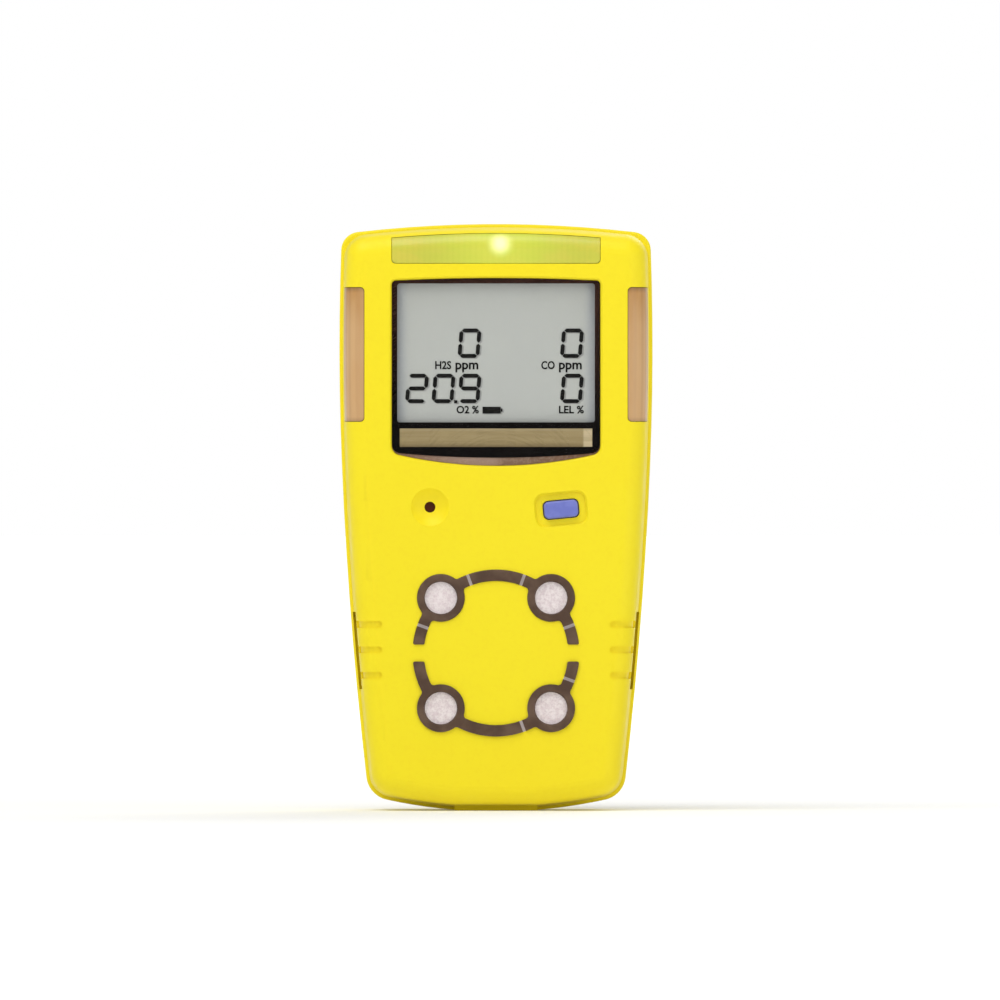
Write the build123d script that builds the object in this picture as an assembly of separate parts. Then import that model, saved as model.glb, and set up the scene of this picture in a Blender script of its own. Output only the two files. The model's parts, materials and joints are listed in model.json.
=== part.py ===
from build123d import *
import os
from math import cos, radians, sin, sqrt

# Portable four-gas detector: a hand-sized, clip-on safety instrument with a moulded two-shell casing.
# Frame: +Z up, +X to the right as the display is read, and the display faces -Y.
# The origin is the middle of the flat land under the casing, where it stands in its charging cradle.
# Every size is in millimetres.

os.makedirs("parts", exist_ok=True)

# ---------------------------------------------------------------- driving dimensions
height = 113.0
half_width = 30.2        # at display height, where the casing is widest
front_y = -15.0          # front face
parting_y = -1.0         # plane where the two shells meet
rear_y = 13.0            # rear face
wall = 2.2               # casing wall
gap = 0.1                # assembly gap between fitted pieces
draft = 3.0              # mould draft of each shell, in degrees
shell_step = 0.6         # how far the bumper band stands out of the shells
shell_corner = 4.6       # corner radius of a shell, seen from the front
shell_round = 3.6        # rounding of a shell's outer edge

# Outline of the casing, seen from the front
shoulder_x, shoulder_z = 29.75, 111.1
bulge_z = 88.0
waist_x, waist_z = 29.75, 67.0
heel_x = 24.6
sole_radius = 98.0
land_half = 8.0
band_top_corner, band_bottom_corner = 3.6, 5.0
band_back = 2.2
band_round = 0.5

# Underside land
land_front, land_back = -7.5, 8.4
land_top, land_slope = 2.6, 1.8

# Display window
window_half = 20.0
window_top, window_top_sag = 102.4, 0.5
window_bottom, window_bottom_sag = 66.4, 2.4
window_top_corner, window_bottom_corner = 0.8, 1.8
lens_depth = 1.0
mask_depth = 0.1
tape_depth = 0.2
view_half, view_low, view_high = 19.0, 74.7, 101.4
mask_low, mask_low_sag = 67.9, 1.0
plate_half, plate_low, plate_high = 18.5, 70.0, 73.5
plate_depth = 0.08

# Alarm lenses
side_lens_x, side_lens_low, side_lens_high = 25.3, 74.8, 100.7
top_lens_half, top_lens_low, top_lens_inset = 20.1, 105.2, 1.9
lens_back_y = -6.0
lens_flange = 0.9
lens_skin = wall + 0.8

# Vibration motor, across the top behind the display
motor_y, motor_z, motor_radius, motor_sleeve_radius = 1.5, 106.6, 3.0, 3.35

# Sensor cluster
cluster_z = 30.35
sensor_reach = 10.6      # from the cluster's middle to a sensor's axis, across and up
seal_ring_outer, seal_ring_inner = 4.6, 3.1
track_radius, track_width = 14.95, 2.2
track_gap = 3.25
seal_proud = 0.4
seal_seat_y = -13.7
tick_angles = (20, 70, 110, 160, 290, 340)
filter_radius = 3.55
sensor_radius, sensor_front, sensor_back = 10.0, -12.2, 1.4
pin_circle, pin_radius = 6.5, 0.5

# Push button and sounder port
key_x, key_z, key_tilt = 12.5, 58.0, 5.4
key_wide, key_tall = 6.6, 3.3
key_front = -15.35
key_floor = front_y + 0.7
port_x, port_z, port_radius = -12.7, 58.4, 1.05

# Fasteners
case_screw_spots = [(s * x, z) for x, z in ((24.0, 105.0), (24.0, 62.0), (19.6, 9.0)) for s in (-1, 1)]
case_boss_radius, case_column_radius = 2.8, 3.3
insert_radius, insert_bore, insert_length = 1.9, 1.25, 6.0
case_shank_radius, case_head_radius, case_head_height = 1.2, 2.2, 1.5
counterbore_floor = 10.2
board_shank_radius, board_head_radius, board_head_height = 0.9, 1.7, 1.1

# Circuit boards
display_board_front, display_board_back = -7.6, -6.0
main_board_front, main_board_back = 4.6, 6.2
display_post_spots = [(-18.0, 68.5), (18.0, 68.5)]
main_post_spots = [(0.0, cluster_z), (-20.0, 51.5), (20.0, 51.5)]

# Charging connector
socket_y0, socket_y1 = 0.6, 7.2
socket_half, socket_low, socket_high = 5.5, 0.3, 7.5
socket_wall = 1.0
socket_roof = 5.9

# Alligator clip
pivot_y, pivot_z = 18.2, 86.0
clip_pin_radius = 1.2
clip_sheet = 1.0
clip_pad_y = 14.0
clip_plate_y = clip_pad_y + clip_sheet
clip_screw_z = 72.0
clip_peg_xs, clip_peg_z, clip_peg_radius = (-4.6, 4.6), 79.0, 1.1

inner_front = front_y + wall
inner_rear = rear_y - wall
window_seat_y = front_y + lens_depth + mask_depth + tape_depth
sensor_spots = {
    "oxygen": (-sensor_reach, cluster_z - sensor_reach),
    "combustible": (sensor_reach, cluster_z - sensor_reach),
    "hydrogen_sulfide": (-sensor_reach, cluster_z + sensor_reach),
    "carbon_monoxide": (sensor_reach, cluster_z + sensor_reach),
}

nodes = {}


# ---------------------------------------------------------------- shared construction
def slab(sketch, y_front, y_back):
    """A flat shape drawn in X and Z, made solid from y_front back to y_back."""
    return extrude(Plane.XZ.offset(-y_back) * sketch, amount=y_back - y_front)


def post(x, z, radius, y_front, y_back):
    """A round bar along Y."""
    return slab(Pos(x, z) * Circle(radius), y_front, y_back)


def block(x0, x1, y0, y1, z0, z1):
    """A box given by its limits."""
    centre = Pos((x0 + x1) / 2, (y0 + y1) / 2, (z0 + z1) / 2)
    return centre * Box(x1 - x0, y1 - y0, z1 - z0)


def side_slab(profile, x0, x1):
    """A flat shape drawn in Y and Z, made solid from x0 to x1."""
    return extrude(Plane.YZ.offset(x0) * profile, amount=x1 - x0)


def cross_slots(size, y_floor, y_face):
    """The cross recess of a screw head, centred on the Y axis."""
    arm = size * 0.26
    return slab(Rectangle(size, arm) + Rectangle(arm, size), y_floor, y_face)


def save_all():
    for name, shape in nodes.items():
        export_step(shape, f"parts/{name}.step")


def sole_z(x):
    """Height of the curved underside at x; it meets the flat land at land_half."""
    return sqrt(sole_radius**2 - land_half**2) - sqrt(sole_radius**2 - x**2)


def silhouette(inset, top_corner, bottom_corner):
    """The casing's outline, shrunk by inset."""
    flank = ThreePointArc((shoulder_x, shoulder_z), (half_width, bulge_z), (waist_x, waist_z))
    taper = TangentArc(flank @ 1, (heel_x, sole_z(heel_x)), tangent=flank % 1)
    mid_x = (heel_x + land_half) / 2
    sole = ThreePointArc((heel_x, sole_z(heel_x)), (mid_x, sole_z(mid_x)), (land_half, 0))
    right = [flank, taper, sole]
    left = [mirror(edge, Plane.YZ) for edge in right]
    roof = ThreePointArc((-shoulder_x, shoulder_z), (0, height), (shoulder_x, shoulder_z))
    land = Line((land_half, 0), (-land_half, 0))
    face = make_face(Curve() + [roof] + right + [land] + left)
    if inset:
        face = offset(face, amount=-inset, kind=Kind.INTERSECTION)
    for is_top, radius in ((True, top_corner), (False, bottom_corner)):
        corners = [v for v in face.vertices() if abs(v.X) > waist_x * 0.7 and outer_corner(v, is_top)]
        face = fillet(corners, radius)
    return face


def outer_corner(vertex, is_top):
    """True for the outline's two top corners, or its two bottom ones."""
    return vertex.Y > shoulder_z - 5 if is_top else vertex.Y < sole_z(heel_x) + 3


def shell_outline(inset):
    return silhouette(shell_step + inset, shell_corner - inset, band_bottom_corner - inset)


def rounded_prism(plane, inset, depth, end):
    """A drafted prism of the shell outline on plane, with its far edge rounded."""
    form = extrude(plane * shell_outline(inset), amount=depth - inset, taper=draft)
    far_face = form.faces().sort_by(Axis.Y)[end]
    return fillet(far_face.edges(), shell_round - inset)


def front_form(inset=0.0):
    """The front half's outer form, shrunk by inset on its sides and face."""
    return rounded_prism(Plane.XZ.offset(-parting_y), inset, parting_y - front_y, 0)


def rear_form(inset=0.0):
    """The rear half's outer form, shrunk by inset."""
    facing_back = Plane(origin=(0, parting_y, 0), x_dir=(-1, 0, 0), z_dir=(0, 1, 0))
    return rounded_prism(facing_back, inset, rear_y - parting_y, -1)


def bumper_band():
    """The raised band that runs round the casing behind the parting plane."""
    band = slab(silhouette(0, band_top_corner, band_bottom_corner), parting_y, band_back)
    rims = band.edges().filter_by(Plane.XZ)
    return fillet(rims, band_round)


def side_lens_zone(side, margin):
    """Where a side alarm lens lies; side is -1 or 1."""
    tall = side_lens_high - side_lens_low + 2 * margin
    wide = 12.0
    centre_x = side * (side_lens_x - margin + wide / 2)
    outline = Pos(centre_x, (side_lens_low + side_lens_high) / 2) * RectangleRounded(wide, tall, 0.8)
    return slab(outline, front_y - 1, lens_back_y + margin)


def top_lens_zone(margin):
    """Where the top status lens lies. Its upper edge follows the casing's roof."""
    tall = 14.0
    outline = RectangleRounded(2 * (top_lens_half + margin), tall, 0.8)
    outline = Pos(0, top_lens_low - margin + tall / 2) * outline
    outline &= silhouette(top_lens_inset - margin, shell_corner, band_bottom_corner)
    return slab(outline, front_y - 1, lens_back_y + margin)


def alarm_lens(zone):
    """A lens that fills its opening flush and has a flange behind the wall. zone is a function of margin."""
    skin = (front_form() - front_form(lens_skin)) & zone(-gap)
    flange = (front_form(wall + 0.05) - front_form(lens_skin)) & zone(lens_flange)
    return skin + flange


def arched_outline(half, top, top_sag, low, low_sag, top_corner, low_corner):
    """A window shape: straight sides, and a top and bottom that bow outward."""
    roof = ThreePointArc((-half, top - top_sag), (0, top), (half, top - top_sag))
    right = Line((half, top - top_sag), (half, low + low_sag))
    floor = ThreePointArc((half, low + low_sag), (0, low), (-half, low + low_sag))
    left = Line((-half, low + low_sag), (-half, top - top_sag))
    face = make_face(Curve() + [roof, right, floor, left])
    face = fillet([v for v in face.vertices() if v.Y > (top + low) / 2], top_corner)
    ends = [v for v in face.vertices() if v.Y < (top + low) / 2 and abs(abs(v.X) - half) < 0.01]
    return fillet(ends, low_corner)


def window_outline(grow=0.0):
    face = arched_outline(window_half, window_top, window_top_sag, window_bottom, window_bottom_sag,
                          window_top_corner, window_bottom_corner)
    return offset(face, amount=grow) if grow else face


def view_opening(grow=0.0):
    tall = view_high - view_low + 2 * grow
    return Pos(0, (view_low + view_high) / 2) * RectangleRounded(2 * (view_half + grow), tall, 0.5)


def seal_track():
    """The sensor gasket's plan: four rings joined by a circular track with a gap at each side."""
    track = Circle(track_radius + track_width / 2) - Circle(track_radius - track_width / 2)
    track -= Rectangle(4 * track_radius, track_gap)
    tips = [v for v in track.vertices() if abs(v.X) > sensor_reach]
    track = fillet(tips, 0.35)
    rings = [Pos(x, z - cluster_z) * Circle(seal_ring_outer) for x, z in sensor_spots.values()]
    plan = track + rings
    joints = [v for v in plan.vertices()
              if any(abs((v.X - x) ** 2 + (v.Y + cluster_z - z) ** 2 - seal_ring_outer**2) < 0.01
                     for x, z in sensor_spots.values())]
    return Pos(0, cluster_z) * fillet(joints, 0.7)


def key_frame(shape):
    """Places a flat shape, drawn about the origin, at the push button and at its tilt."""
    return Pos(key_x, key_z) * Rot(0, 0, key_tilt) * shape


# ---------------------------------------------------------------- casing
def finger_grooves(form):
    """Three grooves over each front corner beside the sensors, cut to an even depth into form."""
    depth, tall, pitch, start = 0.45, 1.3, 4.9, 21.9
    skin = form() - form(depth)
    cuts = []
    for side in (-1, 1):
        for k in (-1, 0, 1):
            outline = Pos(side * (start + 5), cluster_z + 0.6 + k * pitch) * RectangleRounded(10, tall, 0.6)
            cuts.append(slab(outline, front_y - 1, -9.6))
    return skin & (Part() + cuts)


def latch_slots():
    """A blind slot down each side, beside the sensors, where the arms of a test cap latch."""
    near, far = 0.45, 1.35
    low, high = 23.3, 38.2
    ring = silhouette(near, band_top_corner, band_bottom_corner) - silhouette(far, 3.0, 4.0)
    channel = slab(ring, -9.0, band_back - 1.0)
    window = Pos(0, (low + high) / 2) * RectangleRounded(4 * half_width, high - low, 1.2)
    core = block(-20, 20, -10, 5, 0, height)
    return (channel & slab(window, -10, 5)) - core


def case_bosses(y_front, y_back, radius):
    return [post(x, z, radius, y_front, y_back) for x, z in case_screw_spots]


def front_shell():
    outer, hollow = front_form(), front_form(wall)
    shell = outer - hollow
    posts = case_bosses(inner_front - 0.5, parting_y, case_boss_radius)
    posts += [post(x, z, 2.4, inner_front - 0.5, display_board_front) for x, z in display_post_spots]
    posts += [post(x, z, 2.4, inner_front - 0.5, main_board_front) for x, z in main_post_spots]
    # The main board's posts run on past the parting plane, into the rear half.
    deep_posts = front_form(0.5) + slab(shell_outline(wall + 0.2), parting_y, main_board_front)
    shell = shell + (Part() + posts & deep_posts) + foot(land_front)

    shell -= opening(window_outline(gap), window_seat_y, 0.35)
    shell -= slab(view_opening(0.25), front_y, inner_front + 0.1)
    for side in (-1, 1):
        shell -= side_lens_zone(side, 0)
    shell -= top_lens_zone(0)

    # Push button: a shallow dish with the key's opening in its floor
    dish = key_frame(RectangleRounded(9.6, 6.1, 1.7))
    shell -= opening(dish, key_floor, 0.35)
    key_hole = key_frame(RectangleRounded(key_wide + 0.4, key_tall + 0.4, 1.1))
    shell -= slab(key_hole, front_y, inner_front + 0.1)

    # Sounder port: a dished mouth and a small hole
    mouth = Pos(port_x, front_y - 3.4, port_z) * Sphere(5.0)
    shell -= mouth
    shell -= post(port_x, port_z, port_radius, front_y, inner_front + 0.1)

    # Sensor cluster: the gasket's channel and a gas port under each ring
    shell -= slab(seal_track(), front_y - 1, seal_seat_y)
    shell -= [post(x, z, 3.2, front_y, inner_front + 0.1) for x, z in sensor_spots.values()]

    shell -= finger_grooves(front_form)
    shell -= latch_slots()
    shell -= infrared_window_form(-1, land_top + 1, 0.05)

    insert_depth = parting_y - insert_length
    shell -= case_bosses(insert_depth, parting_y + 0.5, insert_radius)
    shell -= [post(x, z, board_shank_radius, display_board_front - 4, display_board_front + 0.5)
              for x, z in display_post_spots]
    shell -= [post(x, z, board_shank_radius, main_board_front - 5, main_board_front + 0.5)
              for x, z in main_post_spots]
    return shell


def opening(outline, floor, bevel):
    """The space of an opening in the front face, down to floor, with a 45 degree bevel round its mouth."""
    beyond = 0.2
    mouth = extrude(Plane.XZ.offset(-(front_y + bevel)) * outline, amount=bevel + beyond, taper=-45)
    return slab(outline, front_y - beyond, floor) + mouth


def clip_pad():
    """The raised pad on the rear face that carries the clip."""
    pad = slab(Pos(0, 74.5) * RectangleRounded(18.4, 39, 3), inner_rear + 0.5, clip_pad_y)
    rim = pad.faces().sort_by(Axis.Y)[-1].edges()
    return fillet(rim, 0.45)


def clip_pegs():
    """Two pegs on the pad that stop the clip's plate from turning."""
    return [post(x, clip_peg_z, clip_peg_radius, rear_y, clip_pad_y + 0.8) for x in clip_peg_xs]


def foot(y_far):
    """Half of the flat land that the casing stands on; its far end slopes up into the sole."""
    slope = land_slope if y_far > parting_y else -land_slope
    profile = make_face(Polyline((parting_y, 0), (y_far, 0), (y_far + slope, land_top), (parting_y, land_top),
                                 close=True))
    return side_slab(profile, -land_half, land_half)


def rear_shell():
    shell = rear_form() + bumper_band() + clip_pad() - rear_form(wall) - cradle_hollow()
    columns = case_bosses(parting_y, rear_y - 1, case_column_radius)
    # Ribs that back the battery's foam, the clip screw's boss and the motor's cradle
    ribs = [block(x - 0.6, x + 0.6, 8.1, inner_rear + 0.5, 66, 102) for x in (-13, 0, 13)]
    clip_boss = post(0, clip_screw_z, 3.4, 8.1, inner_rear + 0.5)
    cradles = [block(x - 0.7, x + 0.7, 2.6, inner_rear + 0.5, 103.6, 109.5) for x in (-7, 1)]
    cradle_seat = Pos(-3, motor_y, motor_z) * Rot(0, 90, 0) * Cylinder(motor_sleeve_radius, 14)
    inside = rear_form(0.5)
    shell += (Part() + columns + ribs + clip_boss + cradles & inside) - cradle_seat
    shell += foot(land_back)
    shell += clip_pegs()

    shell -= shell_seal()
    shell -= case_bosses(parting_y, rear_y, case_shank_radius + 0.2)
    shell -= case_bosses(counterbore_floor, rear_y + 1, case_head_radius + 0.3)
    shell -= post(0, clip_screw_z, 1.5, 7, rear_y + 2)
    shell -= clip_screw_cone()
    shell -= block(-socket_half - gap, socket_half + gap, socket_y0 - gap, socket_y1 + gap, -1, land_top + 1)
    shell -= slab(label_outline(0.15), rear_y - 0.25, rear_y + 1)
    shell -= latch_slots()
    return shell


def cradle_hollow():
    """The hollow at the parting plane, which the bumper band would otherwise fill."""
    return slab(shell_outline(wall), parting_y, parting_y + 1.0)


def label_outline(grow=0.0):
    return Pos(0, 30) * RectangleRounded(31 + 2 * grow, 24 + 2 * grow, 1.5 + grow)


def shell_seal():
    """The seal ring, which fills a groove in the rear half's rim."""
    outside, inside, depth = 1.55, 2.25, 0.9
    ring = silhouette(outside, 2.6, 3.6) - silhouette(inside, 2.0, 3.0)
    return slab(ring, parting_y, parting_y + depth)


def case_screw():
    """One casing screw about the Y axis: its head is at the rear."""
    head = slab(Circle(case_head_radius), counterbore_floor, counterbore_floor + case_head_height)
    crown = head.faces().sort_by(Axis.Y)[-1].edges()
    head = fillet(crown, 0.5)
    shank = slab(Circle(case_shank_radius), parting_y - insert_length + 0.5, counterbore_floor)
    top = counterbore_floor + case_head_height
    return head + shank - cross_slots(2.8, top - 0.9, top + 1)


def casing():
    nodes["front_shell"] = front_shell()
    nodes["rear_shell"] = rear_shell()
    nodes["shell_seal"] = shell_seal()
    nodes["case_screws"] = Compound([Pos(x, 0, z) * case_screw() for x, z in case_screw_spots])
    insert = slab(Circle(insert_radius) - Circle(insert_bore), parting_y - insert_length, parting_y)
    nodes["threaded_inserts"] = Compound([Pos(x, 0, z) * insert for x, z in case_screw_spots])
    nodes["rear_label"] = slab(label_outline(), rear_y - 0.25, rear_y - 0.05)


# ---------------------------------------------------------------- window and display
def window_and_display():
    mask_back = front_y + lens_depth + mask_depth
    pane = slab(window_outline(), front_y, front_y + lens_depth)
    nodes["window_lens"] = fillet(pane.faces().sort_by(Axis.Y)[0].edges(), 0.25)
    tape = slab(window_outline() - view_opening(0.15), mask_back, window_seat_y)
    nodes["window_tape"] = tape
    mask_plan = arched_outline(window_half, window_top, window_top_sag, mask_low, mask_low_sag,
                               window_top_corner, window_bottom_corner) - view_opening()
    plate_plan = Pos(0, (plate_low + plate_high) / 2) * Rectangle(2 * plate_half, plate_high - plate_low)
    mask_plan -= offset(plate_plan, amount=0.03)
    nodes["window_mask"] = slab(mask_plan, front_y + lens_depth, mask_back)
    nodes["nameplate"] = slab(plate_plan, front_y + lens_depth, front_y + lens_depth + plate_depth)

    glass_front, glass_back, light_back = inner_front + 0.1, -10.5, -9.1
    middle = 87.9
    rear_glass = slab(Pos(0, middle + 1) * Rectangle(40.6, 28.6), (glass_front + glass_back) / 2, glass_back)
    front_glass = slab(Pos(0, middle) * Rectangle(40.6, 30.6), glass_front, (glass_front + glass_back) / 2)
    nodes["lcd_panel"] = front_glass + rear_glass
    guide_plan = Pos(0, middle + 1) * RectangleRounded(39.2, 26.4, 0.6)
    nodes["backlight_guide"] = slab(guide_plan, glass_back, light_back)
    carrier = slab(Pos(0, middle) * RectangleRounded(42.2, 32.6, 1), glass_front, display_board_front)
    carrier -= slab(Pos(0, middle) * Rectangle(40.8, 30.8), glass_front - 1, light_back + 0.05)
    carrier -= slab(Pos(0, middle + 1) * Rectangle(36, 24), light_back, display_board_front + 1)
    carrier -= block(-18.3, 18.3, glass_back, display_board_front + 1, 72.55, 74.35)
    nodes["lcd_carrier"] = carrier
    strip_front = (glass_front + glass_back) / 2
    nodes["lcd_contact_strip"] = block(-18, 18, strip_front, display_board_front, 72.65, 74.2)


# ---------------------------------------------------------------- alarms
def alarms():
    nodes["top_status_lens"] = alarm_lens(top_lens_zone)
    nodes["left_alarm_lens"] = alarm_lens(lambda margin: side_lens_zone(-1, margin))
    nodes["right_alarm_lens"] = alarm_lens(lambda margin: side_lens_zone(1, margin))
    led = fillet(block(-1.0, 1.0, -1.3, 0, -1.5, 1.5).faces().sort_by(Axis.Y)[0].edges(), 0.3)
    side_spots = [(s * 23.4, z) for s in (-1, 1) for z in (81.0, 87.75, 94.5)]
    nodes["alarm_leds"] = Compound([Pos(x, display_board_front, z) * led for x, z in side_spots])
    lying_led = Rot(0, 90, 0) * led
    nodes["status_leds"] = Compound([Pos(x, display_board_front, 106.0) * lying_led for x in (-13, 0, 13)])

    sounder_front = display_board_front - 4.0
    can = slab(Circle(6.4), sounder_front, display_board_front)
    can = fillet(can.faces().sort_by(Axis.Y)[0].edges(), 0.5) - slab(Circle(1.0), sounder_front, -9)
    nodes["sounder"] = Pos(port_x, 0, port_z) * can
    foam = slab(Circle(6.0) - Circle(2.4), inner_front, sounder_front)
    nodes["sounder_gasket"] = Pos(port_x, 0, port_z) * foam
    nodes["sounder_membrane"] = post(port_x, port_z, 2.3, inner_front, inner_front + 0.25)

    along_x = Pos(0, motor_y, motor_z) * Rot(0, 90, 0)
    body = Pos(0, 0, -3.5) * Cylinder(motor_radius, 11.5) + Pos(0, 0, 2.6) * Cylinder(1.1, 0.8)
    nodes["vibration_motor"] = along_x * (body - Cylinder(0.45, 20))
    sleeve = Pos(0, 0, -3) * (Cylinder(motor_sleeve_radius, 9.6) - Cylinder(motor_radius, 9.6))
    nodes["motor_sleeve"] = along_x * sleeve
    nodes["motor_shaft"] = along_x * Pos(0, 0, 2.6) * Cylinder(0.4, 10)
    # The weight is half a disc that hangs below the shaft at rest.
    half_disc = (Circle(2.6) & Pos(0, -1.5) * Rectangle(6, 3)) + Circle(1.0) - Circle(0.4)
    weight = extrude(Plane.YZ.offset(3.8) * half_disc, amount=3.4)
    nodes["motor_weight"] = Pos(0, motor_y, motor_z) * weight


# ---------------------------------------------------------------- push button
def push_button():
    flange_front, flange_back = inner_front + 0.05, inner_front + 0.6
    stem = slab(key_frame(RectangleRounded(key_wide, key_tall, 0.95)), key_front, flange_back)
    cap_rim = stem.faces().sort_by(Axis.Y)[0].edges()
    key = fillet(cap_rim, 0.45)
    key += slab(key_frame(RectangleRounded(8.4, 5.0, 1.2)), flange_front, flange_back)
    nodes["button_key"] = key
    ring = key_frame(RectangleRounded(11.4, 8.0, 2.0)) - key_frame(RectangleRounded(8.8, 5.4, 1.4))
    nodes["button_seal"] = slab(ring, inner_front, flange_back)

    switch_front = display_board_front - 3.6
    switch = block(key_x - 3, key_x + 3, switch_front, display_board_front, key_z - 3, key_z + 3)
    switch = chamfer(switch.edges().filter_by(Axis.Y), 0.5)
    nodes["tactile_switch"] = switch - post(key_x, key_z, 1.6, switch_front - 1, switch_front + 1.1)
    nodes["switch_plunger"] = post(key_x, key_z, 1.5, flange_back, switch_front + 0.4)


# ---------------------------------------------------------------- sensors
def sensor_can():
    """One gas sensor about the Y axis, gas inlet to the front and three pins behind."""
    can = slab(Circle(sensor_radius), sensor_front, sensor_back)
    ends = [can.faces().sort_by(Axis.Y)[i].edges() for i in (0, -1)]
    can = fillet(ends[0] + ends[1], 0.6)
    waist = slab(Circle(sensor_radius + 1) - Circle(sensor_radius - 0.4), -8.2, -7.4)
    inlet = slab(Circle(3.0), sensor_front - 1, sensor_front + 0.5)
    pins = []
    for angle in (90, 210, 330):
        x, z = pin_circle * cos(radians(angle)), pin_circle * sin(radians(angle))
        pins.append(post(x, z, pin_radius, sensor_back - 0.5, main_board_front - 0.2))
    return can - waist - inlet + pins


def socket_cluster():
    """The three spring sockets that one sensor's pins push into."""
    sockets = []
    for angle in (90, 210, 330):
        x, z = pin_circle * cos(radians(angle)), pin_circle * sin(radians(angle))
        sockets.append(slab(Pos(x, z) * (Circle(1.15) - Circle(pin_radius + 0.1)), 2.0, main_board_front))
    return sockets


def sensors():
    seal_front = front_y - seal_proud
    plan = seal_track()
    seal = slab(plan, seal_front, seal_seat_y)
    seal = fillet(seal.faces().sort_by(Axis.Y)[0].edges(), 0.3)
    for x, z in sensor_spots.values():
        seal -= post(x, z, seal_ring_inner, seal_front - 1, seal_seat_y + 1)
        seal -= post(x, z, filter_radius + 0.05, front_y + 0.2, seal_seat_y + 1)
        mouth = Pos(x, seal_front, z) * Rot(90, 0, 0) * Cone(seal_ring_inner, seal_ring_inner + 0.5, 1.0)
        seal -= mouth
    for angle in tick_angles:
        x, z = track_radius * cos(radians(angle)), track_radius * sin(radians(angle))
        tick = Rot(0, -angle, 0) * Box(track_width + 0.8, 0.9, 0.5)
        seal -= Pos(x, seal_front, cluster_z + z) * tick
    lower, upper = seal.solids().sort_by(Axis.Z)
    nodes["lower_sensor_gasket"], nodes["upper_sensor_gasket"] = lower, upper

    can, sockets, seals = sensor_can(), [], []
    for gas, (x, z) in sensor_spots.items():
        nodes[f"{gas}_filter"] = post(x, z, filter_radius, front_y + 0.3, seal_seat_y - 0.05)
        nodes[f"{gas}_sensor"] = Pos(x, 0, z) * can
        sockets += [Pos(x, 0, z) * s for s in socket_cluster()]
        seals.append(slab(Pos(x, z) * (Circle(5.4) - Circle(3.6)), inner_front, sensor_front))
    nodes["sensor_sockets"] = Compound(sockets)
    nodes["sensor_seals"] = Compound(seals)


# ---------------------------------------------------------------- electronics
def board_screw(front, back):
    """A small board screw about the Y axis, its head behind the board."""
    head = slab(Circle(board_head_radius), back, back + board_head_height)
    head = fillet(head.faces().sort_by(Axis.Y)[-1].edges(), 0.35)
    shank = slab(Circle(board_shank_radius - 0.05), front - 3.5, back)
    top = back + board_head_height
    return head + shank - cross_slots(2.0, top - 0.7, top + 1)


def electronics():
    centre = slab(Pos(0, 81.0) * RectangleRounded(41.6, 53.2, 1), display_board_front, display_board_back)
    ears = slab(Pos(0, 87.75) * RectangleRounded(50, 23, 1), display_board_front, display_board_back)
    board = centre + ears
    board -= [post(x, z, board_shank_radius + 0.1, -9, -5) for x, z in display_post_spots]
    nodes["display_board"] = board

    main = Pos(0, 38.5) * RectangleRounded(42.6, 51, 1.5) + Pos(0, 14) * RectangleRounded(31.6, 12, 1)
    main -= [Pos(x, z) * Circle(board_shank_radius + 0.1) for x, z in main_post_spots]
    main -= [Pos(x, z) * Circle(case_column_radius + 0.4) for x, z in case_screw_spots]
    nodes["main_board"] = slab(main, main_board_front, main_board_back)

    display_screw = board_screw(display_board_front, display_board_back)
    screws = [Pos(x, 0, z) * display_screw for x, z in display_post_spots]
    screws += [Pos(x, 0, z) * board_screw(main_board_front, main_board_back) for x, z in main_post_spots]
    nodes["board_screws"] = Compound(screws)
    header = block(-10, 10, display_board_back, main_board_front, 57.9, 61.1)
    header -= [block(x - 0.35, x + 0.35, -4.5, 3.1, 57, 58.4) for x in range(-8, 9, 2)]
    nodes["board_header"] = header

    chip_spots = [(0, 44, 9, 9, 1.2), (-11, 36, 5, 4, 0.9), (11, 36, 5, 4, 0.9), (-10, 20, 4, 5, 1.0),
                  (10, 20, 4, 5, 1.0), (0, 20, 6, 5, 1.2), (-13, 50, 3, 3, 0.8), (13, 50, 3, 3, 0.8)]
    chips = [slab(Pos(x, z) * Rectangle(w, h), main_board_back, main_board_back + t)
             for x, z, w, h, t in chip_spots]
    nodes["circuit_chips"] = Compound(chips)

    cell = block(-18.5, 18.5, -4.4, 7.1, 67.0, 102.6)
    nodes["battery_cell"] = fillet(cell.edges(), 1.2)
    nodes["battery_guard_board"] = block(-15, 15, -0.6, 3.4, 65.6, 66.9)
    nodes["battery_pad"] = slab(Pos(0, 85) * RectangleRounded(33, 31, 1), 7.1, 8.1)

    plug_x, plug_y, plug_top = -14.6, 1.6, 59.6
    plug = block(plug_x - 3, plug_x + 3, -0.6, main_board_front, 55.2, plug_top)
    nodes["battery_plug"] = chamfer(plug.edges().filter_by(Axis.Y), 0.4)
    leads = []
    for x in (-1.1, 1.1):
        start_z, drop, shift = 65.6, 6.0, 2.4
        route = FilletPolyline((plug_x + shift + x, plug_y, start_z),
                               (plug_x + shift + x, plug_y, start_z - 0.3 * drop),
                               (plug_x + x, plug_y, plug_top + 0.3 * drop),
                               (plug_x + x, plug_y, plug_top), radius=2.4)
        leads.append(sweep(Plane(route @ 0, z_dir=route % 0) * Circle(0.5), path=route))
    nodes["battery_leads"] = Compound(leads)


# ---------------------------------------------------------------- underside
def infrared_window_form(z_low, z_high, grow=0.0):
    outline = Pos(0, -5.5) * RectangleRounded(8 + 2 * grow, 3 + 2 * grow, 1.2 + grow)
    return Pos(0, 0, z_low) * extrude(outline, amount=z_high - z_low)


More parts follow.
